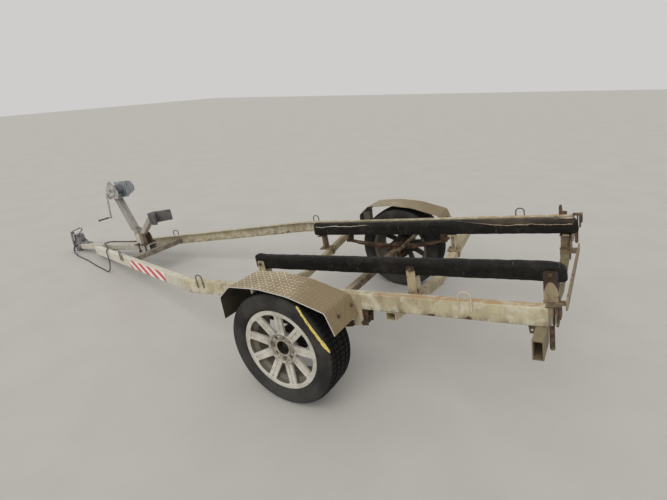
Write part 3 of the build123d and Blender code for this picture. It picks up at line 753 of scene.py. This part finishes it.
def black_cover(name, torn=False):
    """torn opens the cover along the top of its rear half and along a line in front."""
    f = Finish(name, metallic=0.0, specular_ior_level=0.22)
    at = f.mapped(UNLEVEL)
    creases = f.noise(1.0, 6, 0.6, f.stretched(at, (7, 26, 26)), 0.6)
    fine = f.noise(180, 4, 0.6, at)
    dust = f.noise(11, 7, 0.65, at)
    scratch = f.noise(1.0, 4, 0.6, f.stretched(at, (90, 30, 13)), 1.2)
    # Painted shade and sheen: the cover is darker in the hollows of the creases and paler on
    # raised folds.
    colour = f.mix(creases.fade(0.35, 0.7), (15, 14, 12), (28, 26, 22))
    colour = f.mix((dust * 0.8 + fine * 0.25).fade(0.52, 0.72) * 0.14, colour, (122, 112, 98))
    colour = f.mix(scratch.fade(0.66, 0.70) * 0.45, colour, (140, 132, 118))
    if torn:
        x, y, z = f.parts(at)
        below_top = BOARD_TOP - z + (creases - 0.5) * 0.012
        torn_at = x + (dust - 0.5) * 0.30
        here = torn_at.fade(-0.54, -0.80) * (x + (fine - 0.5) * 0.03).fade(-1.155, -1.135)
        lower = 0.014 + here * 0.023 + (dust - 0.5) * 0.026 + (fine - 0.5) * 0.006
        bare = here * below_top.fade(lower + 0.001, lower - 0.001)
        inner = f.mix(creases.fade(0.42, 0.58), (42, 34, 28), (72, 62, 50))
        colour = f.mix(bare, colour, inner)
        lips = below_top.fade(0.012, 0.009) + (below_top - lower).fade(-0.003, 0.0) \
            * (below_top - lower).fade(0.003, 0.0)
        colour = f.mix(here * lips.smaller(1.0) * fine.fade(0.30, 0.45), colour, (180, 164, 136))
        split = abs(below_top - 0.028 + (dust - 0.5) * 0.035)
        split = split.fade(0.0035, 0.0015) * x.fade(0.03, 0.10) * x.fade(0.47, 0.44)
        colour = f.mix(split * fine.fade(0.38, 0.50), colour, (188, 180, 166))
    f.give(base_color=colour, roughness=0.48 + dust * 0.3,
           normal=f.bump(creases * 0.9 + fine * 0.08, 0.004, 0.6))
    return f


cover_finish = black_cover("black_bunk_cover")
torn_finish = black_cover("torn_bunk_cover", torn=True)

stop_finish = Finish("moulded_rubber", metallic=0.0, specular_ior_level=0.3)
chalky = stop_finish.noise(14, 6, 0.6)
pores = stop_finish.noise(240, 4, 0.6)
stop_colour = stop_finish.mix(chalky.fade(0.38, 0.62), (78, 76, 76), (102, 100, 99))
stop_colour = stop_finish.mix(facing_up(stop_finish, 0.5, 1.0) * chalky.fade(0.4, 0.7) * 0.35,
                              stop_colour, (136, 130, 120))
stop_finish.give(base_color=stop_colour, roughness=0.62 + chalky * 0.2,
                 normal=stop_finish.bump(chalky * 0.5 + pores * 0.3, 0.0006, 0.8))
dress(stop_finish, "bow_stop crank_grip")

webbing = Finish("faded_webbing", metallic=0.0, specular_ior_level=0.2)
sideways = webbing.parts(webbing.mapped(UNLEVEL))[1]
ribs = (sideways * 2400.0).maths("SINE") * 0.5 + 0.5
faded = webbing.noise(30, 6, 0.6)
webbing.give(base_color=webbing.mix(faded.fade(0.36, 0.64) * 0.7 + ribs * 0.3,
                                    (92, 95, 100), (126, 129, 134)),
             roughness=0.8 + faded * 0.1, normal=webbing.bump(ribs, 0.0005, 0.8))
dress(webbing, "winch_strap")
print("covers, rubber and webbing dressed")

# %% Cable finish
cable_finish = Finish("black_cable_skin", roughness=0.55, metallic=0.0)
worn = cable_finish.noise(60, 4, 0.6)
cable_finish.give(base_color=cable_finish.mix(worn.fade(0.4, 0.7), (40, 40, 42), (78, 74, 70)))
coat(cable, cable_finish)

# %% [markdown]
# ## Bunk covers
#
# A bunk is a plank with foam on it and a sheet of black vinyl wrapped round and stapled
# along its underside. Tight cloth over foam swells between its fixings, so the plank's
# shape is copied, slimmed, remeshed into even squares, and blown up a little as cloth
# whose staples hold. How far any point may move is capped, so the cover keeps its size.
# Last, the rear end is worn round, and a cloudy displacement leaves shallow folds.

# %% Bunk covers
STAPLE_STEP, STAPLE_REACH, STAPLE_RISE = 0.085, 0.008, 0.012
SLIMMED, VOXEL, FOLD_DEPTH = (0.995, 0.80, 0.91, 1), 0.0075, 0.0055
CLOTH_STEPS = 20
folds = bpy.data.textures.new("cover_folds", "CLOUDS")
folds.noise_scale, folds.noise_depth = 0.045, 2


def worn_round(piece, length, drop):
    """Round the top of a cover's rear end, where hands and hulls have worn the foam."""
    rear = min(v.co.x for v in piece.data.vertices)
    bottom = min(v.co.z for v in piece.data.vertices)
    height = max(v.co.z for v in piece.data.vertices) - bottom
    for v in piece.data.vertices:
        share = max(0.0, min(1.0, (rear + length - v.co.x) / length))
        fall = drop * (1 - math.sqrt(1 - share * share))
        v.co.z = bottom + (v.co.z - bottom) * (1 - fall / height)


def blown_cover(node, name, swell, finish, rounding):
    """swell caps how far a point moves; rounding is the worn end's length and drop."""
    piece = placed(name, nodes[node].data.copy())
    piece.data.materials.clear()
    tidy(piece)
    settle(piece, UNLEVEL)
    low = Vector(min(v.co[i] for v in piece.data.vertices) for i in range(3))
    high = Vector(max(v.co[i] for v in piece.data.vertices) for i in range(3))
    middle = (low + high) / 2
    settle(piece, Matrix.Translation(middle) @ Matrix.Diagonal(SLIMMED)
           @ Matrix.Translation(-middle))
    modify(piece, "REMESH", mode="VOXEL", voxel_size=VOXEL)
    staples = piece.vertex_groups.new(name="staples")
    bottom = min(v.co.z for v in piece.data.vertices)
    for v in piece.data.vertices:
        near = abs((v.co.x / STAPLE_STEP) % 1 - 0.5) * STAPLE_STEP
        if v.co.z < bottom + STAPLE_RISE and near > STAPLE_STEP / 2 - STAPLE_REACH:
            staples.add([v.index], 1.0, "REPLACE")
    start = [v.co.copy() for v in piece.data.vertices]
    cloth = piece.modifiers.new("cover", "CLOTH")
    cloth.settings.quality = 5
    cloth.settings.use_pressure = True
    cloth.settings.uniform_pressure_force = 4.0
    cloth.settings.vertex_group_mass = "staples"
    cloth.settings.effector_weights.gravity = 0.0
    cloth.point_cache.frame_start, cloth.point_cache.frame_end = 1, CLOTH_STEPS
    for step in range(1, CLOTH_STEPS + 1):
        bpy.context.scene.frame_set(step)
    pick(piece)
    bpy.ops.object.modifier_apply(modifier="cover")
    for v, was in zip(piece.data.vertices, start):
        move = v.co - was
        if move.length > swell:
            v.co = was + move.normalized() * swell
    bpy.context.scene.frame_set(1)
    worn_round(piece, *rounding)
    modify(piece, "DISPLACE", texture=folds, strength=FOLD_DEPTH, mid_level=0.5)
    modify(piece, "SUBSURF", levels=1, render_levels=1)
    settle(piece, LEVEL)
    coat(piece, finish)
    smooth(piece, 60)
    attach(piece, "chassis")
    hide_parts(node)
    print(name, "faces", len(piece.data.polygons))


blown_cover("bunk_left", "bunk_cover_left", 0.007, cover_finish, (0.100, 0.038))
blown_cover("bunk_right", "bunk_cover_right", 0.008, torn_finish, (0.055, 0.030))

# %% [markdown]
# ## Tyres in rubber
#
# The construction model's tyre is smooth. This one repeats its outline with the grooves
# cut in: a row of points is extruded one by one, as if drawn with a pen, over the tread
# and back inside along the liner. It is spun through one block's angle in four steps, and
# on each rib one step in four is pushed in as the gap between two blocks. The finished
# block is then spun round as copies, so every block is the same mould.

# %% Tyre outline
BLOCKS, BLOCK_STEPS, CUT_DEPTH, TREAD_RADIUS = 68, 4, 0.0045, 0.2865
RIBS = ((-1.0, 0.0165), (0.0265, 0.0500), (0.0595, 0.0830))


def tyre_outline():
    """(radius, y) points from the inner bead over the tread, and back along the liner."""
    side = [(0.1930, 0.0600), (0.1930, 0.0778), (0.2072, 0.0786), (0.2105, 0.0880),
            (0.2150, 0.0925), (0.2210, 0.0948), (0.2240, 0.0957), (0.2250, 0.0950),
            (0.2262, 0.0959), (0.2350, 0.0969), (0.2450, 0.0972), (0.2530, 0.0969),
            (0.2610, 0.0955), (0.2640, 0.0943), (0.2655, 0.0946), (0.2720, 0.0922),
            (0.2790, 0.0888), (0.2840, 0.0858), (0.2880, 0.0832), (0.2905, 0.0800),
            (0.2925, 0.0762)]
    tread = [(0.2948, 0.0700), (0.2955, 0.0610), (0.2957, 0.0590), (0.2895, 0.0578),
             (0.2895, 0.0512), (0.2963, 0.0500), (0.2968, 0.0400), (0.2970, 0.0262),
             (0.2905, 0.0250), (0.2905, 0.0180), (0.2974, 0.0168), (0.2975, 0.0080)]
    half = side + tread
    liner = [(0.2080, 0.0700), (0.2250, 0.0860), (0.2500, 0.0890), (0.2680, 0.0860),
             (0.2780, 0.0700), (0.2795, 0.0400)]
    outside = half + [(r, -y) for r, y in reversed(half)]
    return outside + [(r, -y) for r, y in liner] + liner[::-1] + [half[0]]


def tyre_piece(name, node, finish):
    bpy.ops.mesh.primitive_plane_add(size=0.01)
    piece = named(name)
    outline = tyre_outline()
    pick(piece)
    mode("EDIT")
    bpy.ops.mesh.select_mode(type="VERT")
    bpy.ops.mesh.select_all(action="SELECT")
    bpy.ops.mesh.merge(type="CENTER")
    bpy.ops.transform.translate(value=(outline[0][0], outline[0][1], 0))
    for (r0, y0), (r1, y1) in zip(outline, outline[1:]):
        bpy.ops.mesh.extrude_vertices_move(
            TRANSFORM_OT_translate={"value": (r1 - r0, y1 - y0, 0)})
    turn = 2 * math.pi / BLOCKS
    bpy.ops.mesh.select_all(action="SELECT")
    bpy.ops.mesh.spin(steps=BLOCK_STEPS, angle=turn, center=(0, 0, 0), axis=(0, 1, 0))
    bpy.ops.mesh.select_all(action="SELECT")
    bpy.ops.mesh.normals_make_consistent(inside=False)
    mode("OBJECT")
    middle = sum((f.center for f in piece.data.polygons), Vector()) / len(piece.data.polygons)
    facing = sum(f.normal.dot(f.center - middle) for f in piece.data.polygons
                 if math.hypot(f.center.x, f.center.z) > 0.28)
    if facing < 0:
        pick(piece)
        mode("EDIT")
        bpy.ops.mesh.flip_normals()
        mode("OBJECT")
    first = math.atan2(piece.data.vertices[0].co.z, piece.data.vertices[0].co.x)

    def is_cut(centre, normal):
        radius = math.hypot(centre.x, centre.z)
        angle = abs(math.atan2(centre.z, centre.x) - first)
        step = int(angle / turn * BLOCK_STEPS)
        rib = any(inner < abs(centre.y) < outer for inner, outer in RIBS)
        return rib and radius > TREAD_RADIUS and step == (1 if centre.y > 0.0 else 2)

    choose(piece, is_cut)
    bpy.ops.mesh.extrude_region_shrink_fatten(
        TRANSFORM_OT_shrink_fatten={"value": -CUT_DEPTH})
    bpy.ops.mesh.select_all(action="SELECT")
    bpy.ops.mesh.spin(steps=BLOCKS - 1, dupli=True, angle=turn * (BLOCKS - 1),
                      center=(0, 0, 0), axis=(0, 1, 0))
    mode("OBJECT")
    tidy(piece, outwards=False)
    low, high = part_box(node)
    settle(piece, Matrix.Translation((low + high) / 2))
    coat(piece, finish)
    smooth(piece, 28)
    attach(piece, "wheel_left" if node.endswith("left") else "wheel_right")
    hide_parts(node)
    print(name, "faces", len(piece.data.polygons), "outer radius", max(r for r, y in outline))


tyre_piece("tyre_rubber_left", "tyre_left", near_tyre_finish)
tyre_piece("tyre_rubber_right", "tyre_right", far_tyre_finish)

# %% [markdown]
# ## Tread plate fenders
#
# Tread plate is rolled with short raised bars, each turned a quarter from its
# neighbours. The fender is one strip of it folded over the wheel: up at the front, nearly
# flat on top, down in two gentle slopes and a flap. It is made the way the real one was:
# the bars are modelled once and repeated on a flat strip, and then the strip is bent
# along a curve that has the fold's outline. Years of hands and straps have polished the
# bars on top, and dust lies thick on the rear slope.

# %% Fender finishes
def tread_plate(name, field, worn, metal, far):
    """far is how much duller the right fender is."""
    f = Finish(name, metallic=metal)
    at = f.mapped(UNLEVEL)
    x, y = f.parts(at)[:2]
    slow = f.noise(7, 5, 0.6, at)
    fine = f.noise(190, 5, 0.6, at)
    blots = f.noise(22, 7, 0.65, at)
    colour = f.mix(slow.fade(0.35, 0.65), field, worn)
    rear = (x + (slow - 0.5) * 0.25).fade(0.02, -0.22)
    colour = f.mix(rear * 0.85, colour, (134, 117, 86))
    colour = f.mix((y < 0.0) * far, colour, (130, 116, 88))
    colour = f.mix((blots * 0.7 + fine * 0.4).fade(0.58, 0.75) * 0.6, colour, (116, 100, 78))
    normal = f.parts(f.node("ShaderNodeNewGeometry", out="Normal"))
    centre = f.parts(f.place)
    outward = normal[0] * (centre[0] - AXLE.x) + normal[2] * (centre[2] - AXLE.z)
    # Painted shade: faces turned to the wheel are dark, under the fender.
    colour = f.mix(outward < 0.0, colour, (70, 64, 52))
    edge = abs(y).fade(0.8285, 0.8305)
    colour = f.mix(edge, colour, (206, 202, 194))
    f.give(base_color=colour, roughness=0.5 + slow * 0.3,
           normal=f.bump(fine, 0.0005, 0.8))
    return f


plate_finish = tread_plate("dusty_tread_plate", (150, 134, 104), (166, 151, 122),
                           0.1, far=0.45)
bar_finish = tread_plate("worn_tread_bars", (208, 199, 176), (236, 230, 214), 0.2,
                         far=0.05)

# %% The fold's outline, as x, z and corner radius in millimetres
FOLD = ((286, 150, 0), (283, 264, 22), (206, 325, 45), (30, 326, 320), (-135, 300, 320),
        (-318, 238, 22), (-352, 137, 0))
PLATE, FENDER_IN, FENDER_OUT = 0.0025, 0.626, 0.832
CORNER_STEPS = 6


def rounded(corners):
    """Points along straight runs with their corners rounded to each radius, in metres."""
    spots = [Vector((x / 1000, z / 1000)) for x, z, _ in corners]
    line = [spots[0]]
    for a, b, c, (_, _, r) in zip(spots, spots[1:], spots[2:], corners[1:]):
        into, out = (a - b).normalized(), (c - b).normalized()
        half = into.angle(out) / 2
        reach = r / 1000 / math.tan(half)
        centre = b + (into + out).normalized() * (r / 1000 / math.sin(half))
        start, end = b + into * reach - centre, b + out * reach - centre
        sweep = start.angle_signed(end)
        for k in range(CORNER_STEPS + 1):
            turn = -sweep * k / CORNER_STEPS
            line.append(centre + Vector((
                start.x * math.cos(turn) - start.y * math.sin(turn),
                start.x * math.sin(turn) + start.y * math.cos(turn))))
    line.append(spots[-1])
    return line


fold_line = rounded(FOLD)
fold_length = sum((b - a).length for a, b in zip(fold_line, fold_line[1:]))
print("a fender takes", round(fold_length * 1000), "mm of plate")

# %% A fender, flat and then bent
GRID, BARS_ACROSS, BARE_EDGE = 0.0229, 9, 0.004
BAR_SIZE = (0.0098, 0.0027, 0.0016)


def fender_piece(name, node, side):
    along = int(fold_length / GRID)
    pick()
    bpy.ops.mesh.primitive_grid_add(x_subdivisions=150, y_subdivisions=9, size=1)
    sheet = named(name)
    sheet.scale = (fold_length, FENDER_OUT - FENDER_IN, 1)
    sheet.location = (fold_length / 2, 0, -0.0001)
    settle(sheet)
    modify(sheet, "SOLIDIFY", thickness=PLATE, offset=-1)
    coat(sheet, plate_finish)

    pick()
    bpy.ops.mesh.primitive_cylinder_add(vertices=10, radius=1, depth=1, end_fill_type="NGON")
    bar = named(name + "_bar")
    bar.scale = BAR_SIZE
    bar.location = (0, 0, 0.0003)
    settle(bar)
    choose(bar, lambda centre, normal: normal.z > 0.9)
    bpy.ops.mesh.inset(thickness=0.0008)
    bpy.ops.transform.translate(value=(0, 0, 0.0002))
    mode("OBJECT")
    coat(bar, bar_finish)
    first = twin(bar, name + "_first", Matrix.Translation((GRID / 2, -GRID / 2, 0))
                 @ turned(45, "Z"))
    second = twin(bar, name + "_second", Matrix.Translation((GRID / 2, GRID / 2, 0))
                  @ turned(-45, "Z"))
    third = twin(second, name + "_third", Matrix.Translation((GRID, -GRID, 0)))
    fourth = twin(first, name + "_fourth", Matrix.Translation((GRID, GRID, 0)))
    bpy.data.objects.remove(bar)
    bars = joined(name + "_bars", [first, second, third, fourth])
    for count, step in ((along // 2, (2 * GRID, 0, 0)),
                        (BARS_ACROSS // 2 + 1, (0, 2 * GRID, 0))):
        modify(bars, "ARRAY", count=count, use_relative_offset=False,
               use_constant_offset=True, constant_offset_displace=step)
    settle(bars, Matrix.Translation((0, -GRID * (BARS_ACROSS // 2) + GRID / 2, 0)))
    half = (FENDER_OUT - FENDER_IN) / 2 - BARE_EDGE
    choose(bars, lambda centre, normal: abs(centre.y) > half or centre.x < BARE_EDGE
           or centre.x > fold_length - BARE_EDGE)
    bpy.ops.mesh.select_linked()
    bpy.ops.mesh.delete(type="VERT")
    mode("OBJECT")
    fender = joined(name, [bars, sheet])

    curve = bpy.data.curves.new(name + "_fold", "CURVE")
    curve.dimensions = "2D"
    line = curve.splines.new("POLY")
    line.points.add(len(fold_line) - 1)
    for stop, spot in zip(line.points, fold_line):
        stop.co = (spot.x, spot.y, 0, 1)
    path = placed(name + "_fold", curve)
    settle(fender, turned(90, "X"))
    modify(fender, "CURVE", object=path, deform_axis="POS_X")
    bpy.data.objects.remove(path)
    middle = side * (FENDER_IN + FENDER_OUT) / 2
    settle(fender, LEVEL @ Matrix.Translation((0, middle, 0)) @ turned(90, "X"))
    smooth(fender, 30)
    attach(fender, "chassis")
    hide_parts(node)
    print(name, "faces", len(fender.data.polygons))


fender_piece("tread_plate_fender_left", "fender_left", 1)
fender_piece("tread_plate_fender_right", "fender_right", -1)

# %% [markdown]
# ## Hazard tape
#
# On the outside of the left arm of the frame runs a strip of reflective tape with red
# diagonals on white. It is a thin sheet stuck to the web. The stripes are a saw-tooth of
# the distance along the arm plus a share of the height, and scuffs let the paint show.

# %% Tape
ARM = LEVEL @ Matrix.Translation((0.785, 0.6136, 0)) @ turned(-16, "Z")
TAPE_FROM, TAPE_TO = 0.365, 1.050
TAPE_WIDE, TAPE_MIDDLE, TAPE_TOP = 0.068, 0.194, 0.232
STRIPE_PITCH, STRIPE_SLANT = 0.168, 2.25

tape_finish = Finish("hazard_tape", metallic=0.0)
on_arm = tape_finish.mapped(ARM.inverted())
along, height = tape_finish.parts(on_arm)[::2]
phase = (TAPE_TO - along + (height - TAPE_TOP) * STRIPE_SLANT) / STRIPE_PITCH
saw = tape_finish.node("ShaderNodeMath", {0: phase}, operation="FRACT")
scuff = tape_finish.noise(24, 8, 0.7, on_arm)
red = saw.fade(0.0, 0.012) * saw.fade(0.52, 0.508)
stripes = tape_finish.mix(red, (236, 230, 226), (204, 82, 88))
soiled = tape_finish.mix(scuff.fade(0.52, 0.70) * 0.55, stripes, (176, 166, 150))
tape_finish.give(base_color=soiled, roughness=0.35 + scuff * 0.3)

pick()
bpy.ops.mesh.primitive_grid_add(x_subdivisions=40, y_subdivisions=4, size=1)
tape = named("hazard_tape_strip")
tape.scale = (TAPE_TO - TAPE_FROM, TAPE_WIDE, 1)
settle(tape)
modify(tape, "SOLIDIFY", thickness=0.0005, offset=1)
settle(tape, ARM @ Matrix.Translation(((TAPE_FROM + TAPE_TO) / 2, 0.0, TAPE_MIDDLE))
       @ turned(-90, "X"))
tidy(tape)
coat(tape, tape_finish)
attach(tape, "chassis")
print("tape", round(TAPE_TO - TAPE_FROM, 3), "m long")

# %% [markdown]
# ## Bolts and nuts
#
# The fixings are all of one kind: a hexagon with its top rim taken off, on a round
# washer, brown with rust or dull grey. One is modelled from a six-sided cylinder, and
# copies are settled on brackets, straps, clamps, flaps and wheel seats.

# %% One bolt, and where the bolts go
bolt_finish = bare_rust("rusty_bolts", (112, 88, 66), (62, 50, 42), (136, 118, 94))
bright_bolt_finish = bare_rust("dull_bolts", (146, 138, 124), (96, 86, 74), (166, 158, 142))
WASHER = 0.0016


def hex_bolt(name, across, height):
    """A head of a width across its flats, on a washer, standing on the origin."""
    pick()
    bpy.ops.mesh.primitive_cylinder_add(
        vertices=6, radius=across / 2 / math.cos(math.pi / 6), depth=height,
        location=(0, 0, WASHER + height / 2))
    head = named(name)
    settle(head)
    choose(head, lambda centre, normal: normal.z > 0.9)
    bpy.ops.mesh.bevel(offset=across * 0.06, segments=1, affect="EDGES")
    mode("OBJECT")
    pick()
    bpy.ops.mesh.primitive_cylinder_add(vertices=16, radius=across * 0.68, depth=WASHER,
                                        location=(0, 0, WASHER / 2))
    washer = named(name + "_washer")
    settle(washer)
    return joined(name, [head, washer])


def seat(x, y, z, axis):
    """Where a bolt sits on the level drawing, in millimetres, and which way it looks."""
    turn = Vector(axis).to_track_quat("Z", "Y").to_matrix().to_4x4()
    return LEVEL @ Matrix.Translation((x / 1000, y / 1000, z / 1000)) @ turn


def fixings(name, places, across, height, finish, body="chassis"):
    """One piece of the same bolt at all its places; sizes in millimetres."""
    one = hex_bolt(name + "_one", across / 1000, height / 1000)
    copies = [twin(one, name + "_copy", place @ Matrix.Rotation(0.4 * k, 4, "Z"))
              for k, place in enumerate(places)]
    bpy.data.objects.remove(one)
    piece = joined(name, copies)
    piece.data.materials.clear()
    coat(piece, finish)
    smooth(piece, 25)
    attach(piece, body)
    print(name, len(places))


board_bolts = [seat(x, side * 355, 248, (0, side, 0))
               for x in (434, -505, -1106.5) for side in (1, -1)]
fixings("board_bolts", board_bolts, 15, 6, bolt_finish)

V_SLOPE, STRAP_Y, V_BOTTOM = 0.15, 330, 67.8
strap_nuts = [seat(x, side * STRAP_Y, V_BOTTOM + V_SLOPE * STRAP_Y, (0, -V_SLOPE * side, 1))
              for member, half in ((384, 20.3), (-507, 27.3), (-1104, 22.3))
              for side in (1, -1) for x in (member - half, member + half)]
fixings("strap_nuts", strap_nuts, 12, 7, bright_bolt_finish)

stay_bolts = [seat(215, side * 618.6, z, (0, side, 0)) for z in (180, 205) for side in (1, -1)]
flap_bolts = [seat(-334.4, side * y, 190.2, (-0.947, 0, 0.319))
              for y in (646, 757) for side in (1, -1)]
fixings("fender_bolts", stay_bolts + flap_bolts, 13, 5, bolt_finish)

eye_bolts = [seat(x, side * y, 92, (0, facing * side, 0))
             for x in (372, -372) for side in (1, -1) for y, facing in ((613.5, 1), (556.5, -1))]
fixings("spring_eye_bolts", eye_bolts, 22, 9, bolt_finish)

clamp_nuts = [seat(x, y, z, (0, 0, facing)) for z, facing in ((253, 1), (191, -1))
              for x in (1978, 2062) for y in (45.5, -45.5)]
fixings("clamp_nuts", clamp_nuts, 20.5, 7, bolt_finish)

# The crank's arm sweeps 5 mm above the gear case, so the nut on that side is a low one.
fixings("winch_axle_low_nut", [seat(2190, 60, 722, (0, 1, 0))], 19, 2.2, bright_bolt_finish)
fixings("winch_axle_nut", [seat(2190, -50, 722, (0, -1, 0))], 19, 7, bright_bolt_finish)

STUD_CIRCLE, STUD_FACE = 0.057, 0.0521
for name, side in (("left", 1), ("right", -1)):
    low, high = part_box("rim_" + name)
    middle = (low + high) / 2
    seats = []
    for angle in map(math.radians, range(0, 360, 90)):
        stud = Vector((STUD_CIRCLE * math.cos(angle), side * STUD_FACE,
                       STUD_CIRCLE * math.sin(angle)))
        seats.append(Matrix.Translation(middle + stud) @ turned(-90 * side, "X"))
    fixings("wheel_bolts_" + name, seats, 15.5, 9, bright_bolt_finish, body="wheel_" + name)
